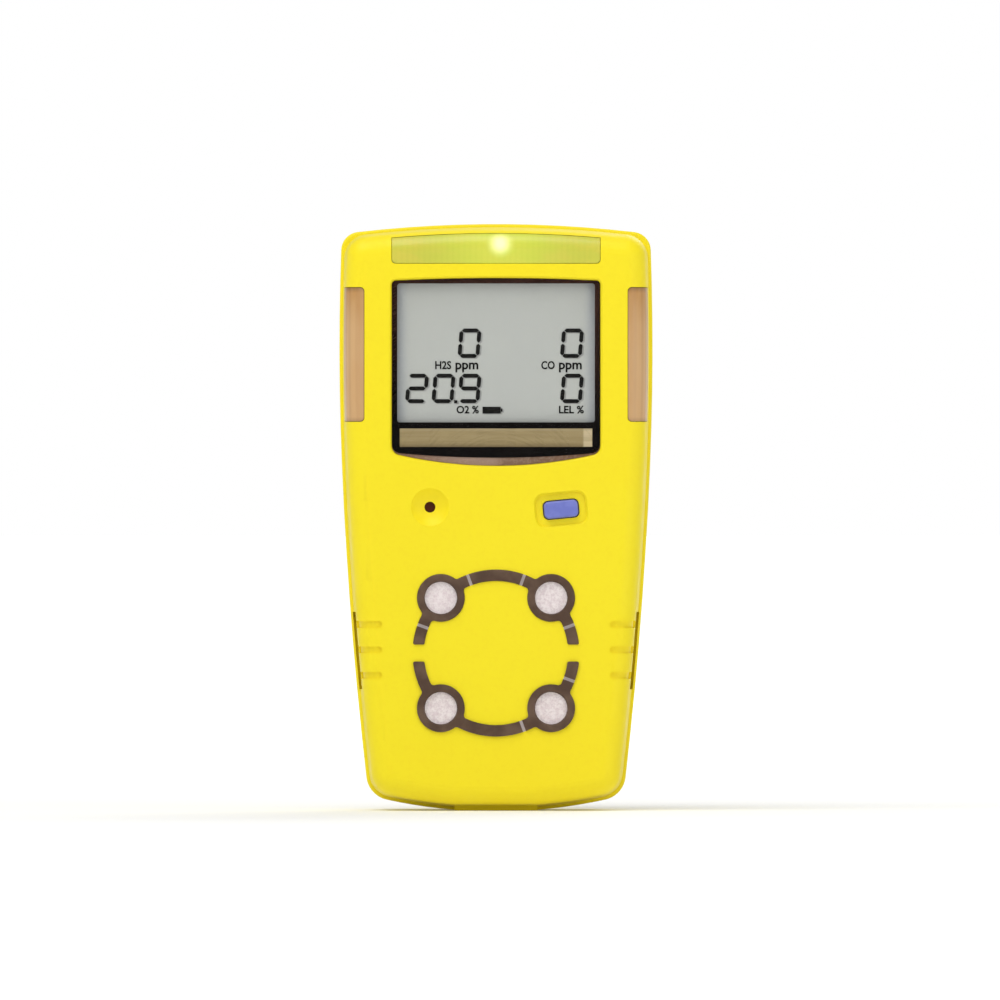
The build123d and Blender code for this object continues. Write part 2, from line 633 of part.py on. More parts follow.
def underside():
    nodes["infrared_window"] = infrared_window_form(0.2, land_top + 0.4)
    housing = block(-socket_half, socket_half, socket_y0, socket_y1, socket_low, socket_high)
    housing = fillet(housing.edges().filter_by(Axis.Z), 0.6)
    mouth = block(-socket_half + socket_wall, socket_half - socket_wall, socket_y0 + socket_wall,
                  socket_y1 - socket_wall, socket_low - 1, socket_roof)
    middle_y = (socket_y0 + socket_y1) / 2
    contact_spots = (-2.7, -0.9, 0.9, 2.7)
    bores = [Pos(x, middle_y, socket_roof + 0.8) * Cylinder(0.52, 4) for x in contact_spots]
    nodes["charging_socket"] = housing - fillet(mouth.edges().filter_by(Axis.Z), 0.4) - bores
    contact = Pos(0, 0, 1.0) * Cylinder(0.5, 2.6) + Pos(0, 0, -0.4) * Cylinder(0.7, 0.4)
    contacts = [Pos(x, middle_y, socket_roof - 0.25) * contact for x in contact_spots]
    nodes["charging_contacts"] = Compound(contacts)


# ---------------------------------------------------------------- alligator clip
def clip_screw_cone():
    """The space a countersunk head takes, wide end at the plate's outer face."""
    depth = 1.3
    return Pos(0, clip_plate_y - depth / 2, clip_screw_z) * Rot(-90, 0, 0) * Cone(1.5, 2.8, depth)


def clip_base():
    low, high, half, ear_half = 56.2, 91.0, 7.4, 7.5
    plate_plan = Pos(0, (low + high) / 2) * RectangleRounded(2 * half, high - low, 2)
    plate = slab(plate_plan, clip_pad_y, clip_plate_y)
    ear_plan = Pos(pivot_y, pivot_z) * Circle(2.5)
    ear_plan += Pos((pivot_y + clip_pad_y) / 2, pivot_z) * Rectangle(pivot_y - clip_pad_y, 7.0)
    ears = [side_slab(ear_plan, min(x, x - s * clip_sheet), max(x, x - s * clip_sheet))
            for s, x in ((-1, -ear_half), (1, ear_half))]
    # Low ridges that the jaw's teeth bite against
    ridges = [side_slab(Pos(clip_plate_y, z) * Rot(0, 0, 45) * Rectangle(0.7, 0.7), -6.4, 6.4)
              for z in (57.8, 59.2, 60.6)]
    base = plate + ears + ridges
    peg_hole = clip_peg_radius + 0.05
    base -= [post(x, clip_peg_z, peg_hole, clip_pad_y - 1, clip_plate_y + 1) for x in clip_peg_xs]
    base -= clip_screw_cone()
    return base - Pos(0, pivot_y, pivot_z) * Rot(0, 90, 0) * Cylinder(clip_pin_radius, 40)


def clip_lever():
    """The sprung lever: a thumb pad above the pin, a stiffened body, and a toothed jaw at its foot."""
    thumb, shoulder, waist = (23.9, 100.2), (21.75, 91.5), (21.5, 79.0)
    ankle, tip = (20.9, 63.6), (16.3, 57.9)
    half, cheek_x = 8.8, 7.8
    spine = FilletPolyline(thumb, shoulder, waist, ankle, tip, radius=3.0)
    arm = side_slab(trace(spine, clip_sheet), -half, half)
    right_side = [(7.6, 104), (half, 93), (half, 70), (7.2, 64), (7.2, 50)]
    plan = make_face(Polyline(*right_side, *[(-x, z) for x, z in reversed(right_side)], close=True))
    arm &= slab(fillet(plan.vertices(), 1.6), 10, 30)

    cheek = Pos(pivot_y, pivot_z) * Circle(2.9)
    cheek += make_face(Polyline((pivot_y, pivot_z - 2.9), (20.3, 78.5), (20.7, 70), (21.4, 70), (21.6, 80.5),
                                (21.8, 91.5), (pivot_y, pivot_z + 2.9), close=True))
    cheeks = [side_slab(cheek, x, x + clip_sheet) for x in (-half, cheek_x)]

    # A raised bead stiffens the body, which leans back by lean degrees
    lean, bead_z = 2.2, 72.0
    bead = slab(Rot(0, 0, 90) * SlotOverall(13, 6.5), 0, 1.0)
    bead = fillet(bead.faces().sort_by(Axis.Y)[-1].edges(), 0.35)
    bead = Pos(0, 21.15, bead_z) * Rot(-lean, 0, 0) * bead

    # Ribs across the thumb pad, for grip
    along = (Vector(0, *shoulder) - Vector(0, *thumb)).normalized()
    outward = Vector(0, -along.Z, along.Y)
    ribs = []
    for k in range(4):
        spot = Vector(0, *thumb) + along * (1.7 + 1.35 * k) + outward * (clip_sheet / 2 - 0.1)
        ribs.append(Pos(spot) * Rot(0, 90, 0) * Cylinder(0.45, 11))
    lever = arm + cheeks + bead + ribs

    # Teeth: notches along the jaw's biting edge
    notch = Rot(-39, 0, 0) * slab(RegularPolygon(1.25, 3, rotation=90), -3, 3)
    lever -= [Pos(x, 16.1, 57.6) * notch for x in (-5.4, -2.7, 0, 2.7, 5.4)]
    return lever - Pos(0, pivot_y, pivot_z) * Rot(0, 90, 0) * Cylinder(clip_pin_radius + 0.05, 40)


def clip_spring():
    """The torsion spring round the pin, drawn as closed turns with its two legs."""
    wire, turn = 0.42, 2.1
    coil_x = Pos(0, pivot_y, pivot_z) * Rot(0, 90, 0)
    turns = [coil_x * Pos(0, 0, 0.8 * k) * Torus(turn, wire) for k in range(-4, 5)]
    fixed = Line((-3.2, pivot_y - turn, pivot_z), (-3.2, clip_plate_y + 0.46, pivot_z + 4.6))
    moving = Line((3.2, pivot_y + turn, pivot_z), (3.2, pivot_y + turn + 0.2, pivot_z + 5.6))
    legs = [sweep(Plane(leg @ 0, z_dir=leg % 0) * Circle(wire), path=leg) for leg in (fixed, moving)]
    return Part() + turns + legs


def clip_screw():
    shank = post(0, clip_screw_z, 1.45, 9.0, clip_plate_y - 0.6)
    head = clip_screw_cone()
    recess = Pos(0, 0, clip_screw_z) * cross_slots(2.8, clip_plate_y - 0.8, clip_plate_y + 1)
    return head + shank - recess


def clip():
    nodes["clip_base"] = clip_base()
    nodes["clip_lever"] = clip_lever()
    nodes["clip_spring"] = clip_spring()
    nodes["clip_screw"] = clip_screw()
    bar = Cylinder(clip_pin_radius, 18.6)
    heads = [Pos(0, 0, z) * Cylinder(1.9, 0.6) for z in (-9.3, 9.3)]
    nodes["clip_pin"] = Pos(0, pivot_y, pivot_z) * Rot(0, 90, 0) * (bar + heads)


casing()
window_and_display()
alarms()
push_button()
sensors()
electronics()
underside()
clip()
save_all()
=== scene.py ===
import json
import math

import bpy
import bmesh
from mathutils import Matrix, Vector


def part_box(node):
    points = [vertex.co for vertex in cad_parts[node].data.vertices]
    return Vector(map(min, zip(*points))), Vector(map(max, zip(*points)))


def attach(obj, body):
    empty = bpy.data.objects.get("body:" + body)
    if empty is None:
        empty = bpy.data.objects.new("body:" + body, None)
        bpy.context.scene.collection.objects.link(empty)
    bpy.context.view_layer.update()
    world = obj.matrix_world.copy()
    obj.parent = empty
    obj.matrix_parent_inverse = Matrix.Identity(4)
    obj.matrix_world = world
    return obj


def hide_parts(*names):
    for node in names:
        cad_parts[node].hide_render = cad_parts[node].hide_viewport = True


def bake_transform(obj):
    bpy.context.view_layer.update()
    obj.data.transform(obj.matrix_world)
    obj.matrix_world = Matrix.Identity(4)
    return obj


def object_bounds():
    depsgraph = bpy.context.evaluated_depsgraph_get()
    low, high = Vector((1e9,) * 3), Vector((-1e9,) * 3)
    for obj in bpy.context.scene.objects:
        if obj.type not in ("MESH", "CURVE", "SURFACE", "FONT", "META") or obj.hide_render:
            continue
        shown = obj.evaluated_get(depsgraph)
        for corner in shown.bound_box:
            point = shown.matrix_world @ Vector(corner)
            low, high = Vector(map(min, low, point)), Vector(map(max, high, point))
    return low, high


# Looks for the portable gas detector. Metres, in the CAD model's frame: the display faces -Y.
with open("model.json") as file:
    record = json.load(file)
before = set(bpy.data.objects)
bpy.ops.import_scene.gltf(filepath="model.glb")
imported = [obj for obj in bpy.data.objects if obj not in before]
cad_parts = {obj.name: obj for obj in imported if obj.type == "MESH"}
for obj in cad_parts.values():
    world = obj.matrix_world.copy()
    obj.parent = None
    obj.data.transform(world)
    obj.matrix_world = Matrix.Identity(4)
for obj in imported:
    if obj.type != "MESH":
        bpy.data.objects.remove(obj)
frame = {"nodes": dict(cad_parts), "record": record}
cad_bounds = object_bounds()
nodes = frame["nodes"]
MM = 0.001


# ---------------------------------------------------------------- colour and shader helpers
def srgb(r, g, b):
    """A display colour, 0 to 255, as the linear colour that shaders take."""
    def linear(c):
        c /= 255
        return c / 12.92 if c <= 0.04045 else ((c + 0.055) / 1.055) ** 2.4
    return (linear(r), linear(g), linear(b), 1.0)


class Finish:
    """A Principled material, with short ways to give it detail in the object's own space."""

    def __init__(self, name, colour, roughness, **sockets):
        self.material = bpy.data.materials.new(name)
        self.material.use_nodes = True
        self.tree = self.material.node_tree
        self.shader = self.tree.nodes["Principled BSDF"]
        self.shader.inputs["Base Color"].default_value = colour
        self.shader.inputs["Roughness"].default_value = roughness
        for socket, value in sockets.items():
            self.shader.inputs[socket.replace("_", " ")].default_value = value
        self.colour = colour
        self.height = None
        self.place = self.node("ShaderNodeTexCoord").outputs["Object"]

    def node(self, kind, inputs=None, **settings):
        made = self.tree.nodes.new(kind)
        for key, value in settings.items():
            setattr(made, key, value)
        for key, value in (inputs or {}).items():
            self.feed(made.inputs[key], value)
        return made

    def feed(self, socket, value):
        """Sets a socket to a number or a colour, or links it to another socket."""
        if isinstance(value, bpy.types.NodeSocket):
            self.tree.links.new(value, socket)
        else:
            socket.default_value = value

    def math(self, operation, a, b=0.0):
        return self.node("ShaderNodeMath", {0: a, 1: b}, operation=operation).outputs[0]

    def axis(self, name):
        return self.node("ShaderNodeSeparateXYZ", {0: self.place}).outputs[name]

    def stretched(self, scale):
        return self.node("ShaderNodeMapping", {"Vector": self.place, "Scale": scale}).outputs["Vector"]

    def noise(self, size, detail=2.0, stretch=(1, 1, 1), roughness=0.5):
        """Noise whose features are about size metres across, 0 to 1."""
        inputs = {"Vector": self.stretched(stretch), "Scale": 1 / size,
                  "Detail": detail, "Roughness": roughness}
        return self.node("ShaderNodeTexNoise", inputs).outputs[0]

    def cells(self, size):
        """Distance to the nearest of scattered points, about size metres apart."""
        inputs = {"Vector": self.place, "Scale": 1 / size}
        return self.node("ShaderNodeTexVoronoi", inputs).outputs["Distance"]

    def waves(self, pitch, direction):
        """Parallel bands across an axis, 0 to 1. A wave texture of scale 1 repeats every tenth of pi."""
        inputs = {"Vector": self.place, "Scale": math.pi / 10 / pitch, "Distortion": 0.0, "Detail": 1.0}
        return self.node("ShaderNodeTexWave", inputs, bands_direction=direction).outputs["Fac"]

    def ramp(self, value, low, high, to_low=0.0, to_high=1.0, smooth=True):
        """value from low..high to to_low..to_high, held at both ends."""
        made = self.node("ShaderNodeMapRange", {0: value, 1: low, 2: high, 3: to_low, 4: to_high})
        made.interpolation_type = "SMOOTHSTEP" if smooth else "LINEAR"
        return made.outputs[0]

    def distance(self, point):
        """How far the surface is from a point of the frame."""
        made = self.node("ShaderNodeVectorMath", {0: self.place, 1: point}, operation="DISTANCE")
        return made.outputs["Value"]

    def off_plane(self, point, direction):
        """How far the surface is from the plane through a point, square to a direction."""
        away = self.node("ShaderNodeVectorMath", {0: self.place, 1: point}, operation="SUBTRACT").outputs[0]
        along = self.node("ShaderNodeVectorMath", {0: away, 1: direction}, operation="DOT_PRODUCT")
        return self.math("ABSOLUTE", along.outputs["Value"])

    def within(self, low, high):
        """1 where the surface is inside a box of the frame, and 0 outside it."""
        inside = 1.0
        for name, start, end in zip("XYZ", low, high):
            half = (end - start) / 2
            off = self.math("ABSOLUTE", self.math("SUBTRACT", self.axis(name), start + half))
            inside = self.math("MULTIPLY", self.ramp(off, half, half + 0.05 * MM, 1, 0), inside)
        return inside

    def mix(self, factor, a, b):
        made = self.node("ShaderNodeMix", data_type="RGBA")
        self.feed(made.inputs[0], factor)
        self.feed(made.inputs[6], a)
        self.feed(made.inputs[7], b)
        return made.outputs[2]

    def tint(self, factor, colour):
        """Mixes another colour over what the base colour is so far."""
        self.colour = self.mix(factor, self.colour, colour)
        self.feed(self.shader.inputs["Base Color"], self.colour)
        return self

    def rough(self, value, low, high):
        """Roughness that follows a 0 to 1 value."""
        self.feed(self.shader.inputs["Roughness"], self.ramp(value, 0.3, 0.7, low, high, smooth=False))
        return self

    def bump(self, height, depth, strength=1.0):
        """Adds relief: height is 0 to 1 and depth is in metres."""
        inputs = {"Height": height, "Distance": depth, "Strength": strength}
        if self.height is not None:
            inputs["Normal"] = self.height
        self.height = self.node("ShaderNodeBump", inputs).outputs["Normal"]
        self.feed(self.shader.inputs["Normal"], self.height)
        return self

    def glow(self, colour, strength):
        """Emission: colour is uniform and strength may follow a texture."""
        self.feed(self.shader.inputs["Emission Color"], colour)
        self.feed(self.shader.inputs["Emission Strength"], strength)
        return self


# ---------------------------------------------------------------- materials
LENS_GLOSS = {"Specular_IOR_Level": 0.3, "Coat_Weight": 0.15, "Coat_Roughness": 0.1}
LENS_RIB_PITCH = 1.1 * MM


def casing_yellow():
    """Saturated yellow moulding with a fine spark-eroded texture."""
    m = Finish("casing_yellow", srgb(243, 224, 24), 0.5, Specular_IOR_Level=0.3)
    m.tint(m.ramp(m.noise(0.030, 3), 0.35, 0.65, 0, 0.35), srgb(242, 218, 20))
    m.tint(m.ramp(m.noise(0.0009, 2), 0.45, 0.75, 0, 0.10), srgb(230, 198, 16))
    # Behind the window, the walls of the display's opening are painted near-black: painted shade inside the
    # opening
    mask_low, mask_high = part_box("window_mask")
    edge_half, edge_low = 19.6 * MM, mask_low.z + 6.2 * MM
    m.tint(m.within((-edge_half, mask_high.y + 0.15 * MM, edge_low),
                    (edge_half, mask_high.y + 1.2 * MM, mask_high.z - 0.5 * MM)), srgb(14, 12, 12))
    m.rough(m.noise(0.006, 4), 0.44, 0.58)
    m.bump(m.noise(0.00030, 3, roughness=0.6), 0.000025, 0.55)
    m.bump(m.cells(0.00055), 0.000012, 0.4)
    return m


def gasket_rubber(ticks):
    """Dark brown rubber with cross grooves, each given by its middle and the track's direction, and a painted
    highlight along each groove.
    """
    m = Finish("gasket_rubber", srgb(78, 57, 44), 0.55, Specular_IOR_Level=0.3)
    m.tint(m.ramp(m.noise(0.0035, 3), 0.35, 0.7, 0, 0.7), srgb(106, 84, 68))
    # Painted highlight: a pale line along each cross groove, standing for glints at its edges
    for centre, along in ticks:
        near = m.ramp(m.distance(centre), 1.5 * MM, 1.7 * MM, 0.85, 0)
        groove = m.ramp(m.off_plane(centre, along), 0.24 * MM, 0.32 * MM, 1, 0)
        m.tint(m.math("MULTIPLY", near, groove), srgb(206, 196, 196))
    m.rough(m.noise(0.0012, 3), 0.48, 0.66)
    m.bump(m.noise(0.00022, 3), 0.00003, 0.5)
    return m


def seal_rubber():
    m = Finish("seal_rubber", srgb(38, 38, 40), 0.6)
    m.tint(m.ramp(m.noise(0.002, 2), 0.4, 0.7, 0, 0.5), srgb(56, 55, 54))
    return m.rough(m.noise(0.001, 2), 0.5, 0.7).bump(m.noise(0.0002, 2), 0.00003, 0.5)


def clear_window():
    """Clear acrylic: it darkens what is behind it a little and shows reflections."""
    m = Finish("clear_window", srgb(8, 9, 10), 0.03, Alpha=0.06)
    m.rough(m.noise(0.008, 4), 0.02, 0.07)
    return m.bump(m.noise(0.03, 1), 0.00002, 0.15)


def mask_black():
    m = Finish("mask_black", srgb(9, 7, 7), 0.3, Specular_IOR_Level=0.06)
    m.tint(m.ramp(m.axis("Z"), 72 * MM, 98 * MM, 0, 0.7), srgb(70, 44, 36))
    m.tint(m.ramp(m.noise(0.004, 3), 0.4, 0.7, 0, 0.4), srgb(22, 17, 16))
    return m.rough(m.noise(0.002, 3), 0.26, 0.4).bump(m.noise(0.0003, 2), 0.000008, 0.3)


def tape_white():
    """Foam tape, seen as a rim under the window, pale as a painted highlight of the window's lower edge, with
    painted shade on its right half and towards its ends.
    """
    # Painted highlight: the pale colour stands for light caught by the window's thick lower edge
    m = Finish("tape_white", srgb(170, 142, 128), 0.6, Specular_IOR_Level=0.2)
    # Painted shade: darker over the right half and towards both ends
    m.tint(m.ramp(m.axis("X"), -0.5 * MM, 1.5 * MM, 0, 0.6), srgb(110, 80, 56))
    m.tint(m.ramp(m.math("ABSOLUTE", m.axis("X")), 5 * MM, 17 * MM, 0, 0.6), srgb(120, 84, 66))
    m.tint(m.ramp(m.noise(0.0006, 3), 0.4, 0.7, 0, 0.3), srgb(186, 162, 148))
    return m.bump(m.noise(0.00025, 2), 0.00003, 0.6)


def nameplate_khaki(low, high):
    """The blank strip below the display: brushed khaki, with a plain pale block at its right end."""
    m = Finish("nameplate_khaki", srgb(165, 147, 106), 0.42, Specular_IOR_Level=0.2)
    height = m.axis("Z")
    span = high.z - low.z
    m.tint(m.ramp(height, low.z, low.z + 0.35 * span, 0.6, 0), srgb(112, 94, 66))
    m.tint(m.ramp(height, high.z - 0.2 * span, high.z, 0, 0.5), srgb(190, 174, 136))
    m.tint(m.ramp(m.axis("X"), high.x - 1.9 * MM, high.x - 1.5 * MM, 0, 0.8), srgb(212, 196, 160))
    m.tint(m.ramp(m.noise(0.0007, 3, stretch=(0.06, 1, 1)), 0.4, 0.7, 0, 0.3), srgb(134, 116, 80))
    return m.bump(m.noise(0.00016, 2, stretch=(0.05, 1, 1)), 0.00001, 0.5)


def lcd_grey(low, high):
    """Reflective liquid crystal: neutral grey, with painted shade towards its left and right edges, and a
    faint fine grain.
    """
    m = Finish("lcd_grey", srgb(198, 201, 196), 0.5, Specular_IOR_Level=0.2)
    wide = 2.0 * MM
    side = m.axis("X")
    # Painted shade: a soft grey-blue shadow inside the left and right edges
    m.tint(m.ramp(side, low.x + wide * 0.7, low.x + wide * 1.9, 0.6, 0), srgb(172, 178, 186))
    m.tint(m.ramp(side, high.x - wide * 1.9, high.x - wide * 0.7, 0, 0.6), srgb(172, 178, 186))
    m.tint(m.ramp(m.noise(0.00045, 2), 0.45, 0.75, 0, 0.25), srgb(210, 212, 207))
    m.tint(m.ramp(m.noise(0.012, 2), 0.4, 0.7, 0, 0.2), srgb(190, 193, 190))
    return m.bump(m.noise(0.00018, 2), 0.000006, 0.4)


def lens_amber(name, low, high):
    """Smoked translucent lens: warm brown, with painted shade at its top and bottom edges, and moulded ribs
    behind it.
    """
    m = Finish(name, srgb(200, 158, 108), 0.3, **LENS_GLOSS)
    height = m.axis("Z")
    # Painted shade: darker and browner towards the top, where the lens is inset
    m.tint(m.ramp(height, high.z - 10 * MM, high.z - 1 * MM, 0, 0.8), srgb(180, 130, 66))
    m.tint(m.ramp(height, high.z - 2.2 * MM, high.z - 0.9 * MM, 0, 0.7), srgb(108, 70, 34))
    # Painted shade: darker along the bottom edge
    m.tint(m.ramp(height, low.z + 0.9 * MM, low.z + 2.0 * MM, 0.6, 0), srgb(120, 82, 50))
    m.tint(m.ramp(m.noise(0.004, 3, stretch=(1, 1, 0.35)), 0.35, 0.65, 0, 0.45), srgb(206, 170, 124))
    m.tint(m.ramp(m.waves(LENS_RIB_PITCH, "Y"), 0.3, 0.9, 0, 0.16), srgb(150, 102, 60))
    return m.bump(m.waves(LENS_RIB_PITCH, "Y"), 0.00002, 0.4)


def lens_green(lamp):
    """Pale translucent lens, lit from behind by a lamp at its middle."""
    m = Finish("lens_green", srgb(196, 192, 74), 0.3, **LENS_GLOSS)
    away = m.distance(lamp)
    m.tint(m.ramp(away, 6 * MM, 21 * MM, 0.0, 0.9), srgb(208, 196, 72))
    m.tint(m.ramp(m.noise(0.003, 3, stretch=(0.5, 1, 1)), 0.35, 0.65, 0, 0.35), srgb(178, 196, 62))
    m.tint(m.ramp(m.waves(LENS_RIB_PITCH, "X"), 0.3, 0.9, 0, 0.07), srgb(160, 170, 50))
    spread = m.ramp(away, 0.5 * MM, 17 * MM, 0.22, 0.02)
    core = m.ramp(away, 0.2 * MM, 3.0 * MM, 0.5, 0.0)
    warm = m.mix(m.ramp(away, 0.4 * MM, 3.2 * MM), srgb(252, 255, 225), srgb(190, 222, 40))
    m.glow(warm, m.math("ADD", spread, core))
    return m.bump(m.waves(LENS_RIB_PITCH, "X"), 0.00001, 0.25)


def button_blue():
    m = Finish("button_blue", srgb(104, 113, 192), 0.48)
    m.tint(m.ramp(m.noise(0.0016, 3), 0.35, 0.65, 0, 0.5), srgb(122, 130, 204))
    # Painted shade: the key darkens towards the floor of its recess
    m.tint(m.ramp(m.axis("Y"), -15.1 * MM, -14.4 * MM, 0, 0.7), srgb(78, 84, 160))
    return m.rough(m.noise(0.001, 2), 0.42, 0.56).bump(m.noise(0.00022, 3), 0.00002, 0.5)


def filter_white():
    """Sintered white membrane, mottled with a faint pink-grey."""
    m = Finish("filter_white", srgb(240, 230, 230), 0.85, Sheen_Weight=0.15)
    m.tint(m.ramp(m.noise(0.0009, 4, roughness=0.7), 0.4, 0.65, 0, 0.7), srgb(214, 196, 200))
    m.tint(m.ramp(m.cells(0.0004), 0.1, 0.7, 0.35, 0), srgb(196, 180, 182))
    return m.bump(m.noise(0.00025, 4, roughness=0.8), 0.00012, 0.8)


def mesh_black():
    """The sounder's dark acoustic mesh."""
    m = Finish("mesh_black", srgb(70, 30, 16), 0.7, Specular_IOR_Level=0.2)
    weave = m.math("MULTIPLY", m.waves(0.00022, "X"), m.waves(0.00022, "Z"))
    return m.tint(weave, srgb(104, 52, 30)).bump(weave, 0.00005, 0.8)


def plated_steel(name, colour, roughness, grain=(1, 1, 0.05)):
    """Plated steel with a fine brushed grain along one axis."""
    m = Finish(name, colour, roughness, Metallic=1.0, Anisotropic=0.35)
    m.tint(m.ramp(m.noise(0.0006, 3, stretch=grain), 0.35, 0.7, 0, 0.35), srgb(150, 149, 147))
    m.tint(m.ramp(m.noise(0.006, 4), 0.5, 0.8, 0, 0.3), srgb(168, 164, 158))
    m.rough(m.noise(0.0005, 3, stretch=grain), roughness - 0.07, roughness + 0.12)
    return m.bump(m.noise(0.00018, 3, stretch=grain), 0.000012, 0.6)


def warm_metal(name, colour, roughness):
    m = Finish(name, colour, roughness, Metallic=1.0)
    m.tint(m.ramp(m.noise(0.0012, 3), 0.4, 0.7, 0, 0.4), srgb(196, 152, 84))
    m.rough(m.noise(0.0006, 3), roughness - 0.06, roughness + 0.1)
    return m.bump(m.noise(0.0002, 2), 0.00001, 0.5)


def board_green():
    """Solder mask over a faint weave and copper tracks."""
    m = Finish("board_green", srgb(16, 92, 48), 0.35, Coat_Weight=0.3)
    tracks = m.ramp(m.noise(0.0012, 0, stretch=(1, 1, 0.25)), 0.49, 0.51)
    m.tint(m.math("MULTIPLY", tracks, 0.35), srgb(40, 128, 66))
    m.tint(m.ramp(m.waves(0.0006, "X"), 0.2, 0.9, 0, 0.12), srgb(8, 66, 34))
    return m.bump(tracks, 0.00002, 0.5)


def moulded(name, colour, shade, roughness=0.5):
    """Plain moulded plastic with a fine texture."""
    m = Finish(name, colour, roughness)
    m.tint(m.ramp(m.noise(0.0025, 3), 0.35, 0.65, 0, 0.5), shade)
    m.rough(m.noise(0.0015, 3), roughness - 0.06, roughness + 0.1)
    return m.bump(m.noise(0.00025, 3), 0.00002, 0.5)


def battery_wrap():
    m = Finish("battery_wrap", srgb(176, 180, 184), 0.3, Metallic=0.5)
    m.tint(m.ramp(m.noise(0.004, 4), 0.4, 0.7, 0, 0.4), srgb(150, 154, 160))
    return m.bump(m.noise(0.005, 4, roughness=0.6), 0.0001, 0.6)


def foam_black():
    m = Finish("foam_black", srgb(40, 40, 42), 0.9)
    m.tint(m.ramp(m.cells(0.0004), 0.1, 0.6, 0.5, 0), srgb(22, 22, 24))
    return m.bump(m.cells(0.0004), 0.0001, 0.8)


def lead_red():
    m = Finish("lead_red", srgb(186, 34, 30), 0.45)
    m.tint(m.ramp(m.noise(0.0015, 2), 0.4, 0.7, 0, 0.4), srgb(150, 22, 22))
    return m.bump(m.noise(0.0003, 2), 0.00002, 0.5)


def label_silver(low, high):
    """The blank label at the back: matt silver film with a printed border, and no lettering."""
    m = Finish("label_silver", srgb(196, 197, 194), 0.42, Metallic=0.25)
    inset, line = 1.6 * MM, 0.35 * MM
    middle, half = (low + high) / 2, (high - low) / 2
    across = m.math("ABSOLUTE", m.math("SUBTRACT", m.axis("X"), middle.x))
    up = m.math("ABSOLUTE", m.math("SUBTRACT", m.axis("Z"), middle.z))
    edge = m.math("MINIMUM", m.math("SUBTRACT", half.x, across), m.math("SUBTRACT", half.z, up))
    off_line = m.math("ABSOLUTE", m.math("SUBTRACT", edge, inset))
    m.tint(m.ramp(off_line, line * 0.4, line * 0.6, 0.85, 0), srgb(70, 70, 70))
    m.tint(m.ramp(m.noise(0.003, 4), 0.4, 0.7, 0, 0.25), srgb(176, 177, 175))
    return m.rough(m.noise(0.004, 4), 0.34, 0.5).bump(m.noise(0.0004, 3), 0.00001, 0.5)


def infrared_black():
    m = Finish("infrared_black", srgb(32, 8, 14), 0.12, Coat_Weight=0.5)
    m.tint(m.ramp(m.noise(0.003, 3), 0.4, 0.7, 0, 0.5), srgb(54, 14, 22))
    return m.bump(m.noise(0.002, 2), 0.00002, 0.3)


def segment_black():
    m = Finish("segment_black", srgb(12, 12, 10), 0.5, Specular_IOR_Level=0.15)
    m.tint(m.ramp(m.noise(0.0008, 2), 0.4, 0.7, 0, 0.6), srgb(30, 30, 27))
    return m.bump(m.noise(0.0002, 2), 0.000005, 0.3)


def segment_shade():
    """The soft shadow that dark segments throw on the reflector behind them."""
    m = Finish("segment_shade", srgb(160, 161, 158), 0.6)
    m.tint(m.ramp(m.noise(0.0005, 2), 0.4, 0.7, 0, 0.5), srgb(172, 173, 170))
    return m.bump(m.noise(0.0002, 2), 0.000005, 0.3)


# ---------------------------------------------------------------- mesh helpers
def mesh_object(name, bm, material, body):
    """An object from a bmesh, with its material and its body."""
    bmesh.ops.recalc_face_normals(bm, faces=bm.faces)
    data = bpy.data.meshes.new(name)
    bm.to_mesh(data)
    bm.free()
    made = bpy.data.objects.new(name, data)
    bpy.context.scene.collection.objects.link(made)
    data.materials.append(material)
    if body:
        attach(made, body)
    return made


def add_prism(bm, outline, y_front, y_back):
    """A flat-ended solid from an outline in X and Z."""
    front = [bm.verts.new((x, y_front, z)) for x, z in outline]
    back = [bm.verts.new((x, y_back, z)) for x, z in outline]
    bm.faces.new(front)
    bm.faces.new(back[::-1])
    for i in range(len(outline)):
        j = (i + 1) % len(outline)
        bm.faces.new((front[i], back[i], back[j], front[j]))


# ---------------------------------------------------------------- display contents
DIGIT_WIDE, DIGIT_TALL, STROKE, SLANT, JOINT_GAP = 4.2 * MM, 5.65 * MM, 0.76 * MM, 0.08, 0.06 * MM
LIT = {"0": "abcdef", "2": "abged", "9": "abcdfg"}


def bar(start, end, width):
    """A display segment between two corners: a bar with pointed ends."""
    along = (end - start).normalized()
    side = Vector((-along.y, along.x)) * width / 2
    start = start + along * JOINT_GAP
    end = end - along * JOINT_GAP
    tip = along * width / 2
    return [start, start + tip + side, end - tip + side, end, end - tip - side, start + tip - side]


def digit_outlines(character, centre_x, low_z):
    """The lit segments of one digit, leaning a little to the right."""
    w, t = DIGIT_WIDE - STROKE, DIGIT_TALL - STROKE
    x0, z0 = centre_x - w / 2, low_z + STROKE / 2
    corner = {(i, j): Vector((x0 + i * w + SLANT * (j / 2 - 0.5) * t, z0 + j * t / 2))
              for i in (0, 1) for j in (0, 1, 2)}
    ends = {"a": ((0, 2), (1, 2)), "b": ((1, 2), (1, 1)), "c": ((1, 1), (1, 0)), "d": ((0, 0), (1, 0)),
            "e": ((0, 0), (0, 1)), "f": ((0, 1), (0, 2)), "g": ((0, 1), (1, 1))}
    return [bar(corner[ends[s][0]], corner[ends[s][1]], STROKE) for s in LIT[character]]


def rectangle(x0, x1, z0, z1):
    return [(x0, z0), (x1, z0), (x1, z1), (x0, z1)]


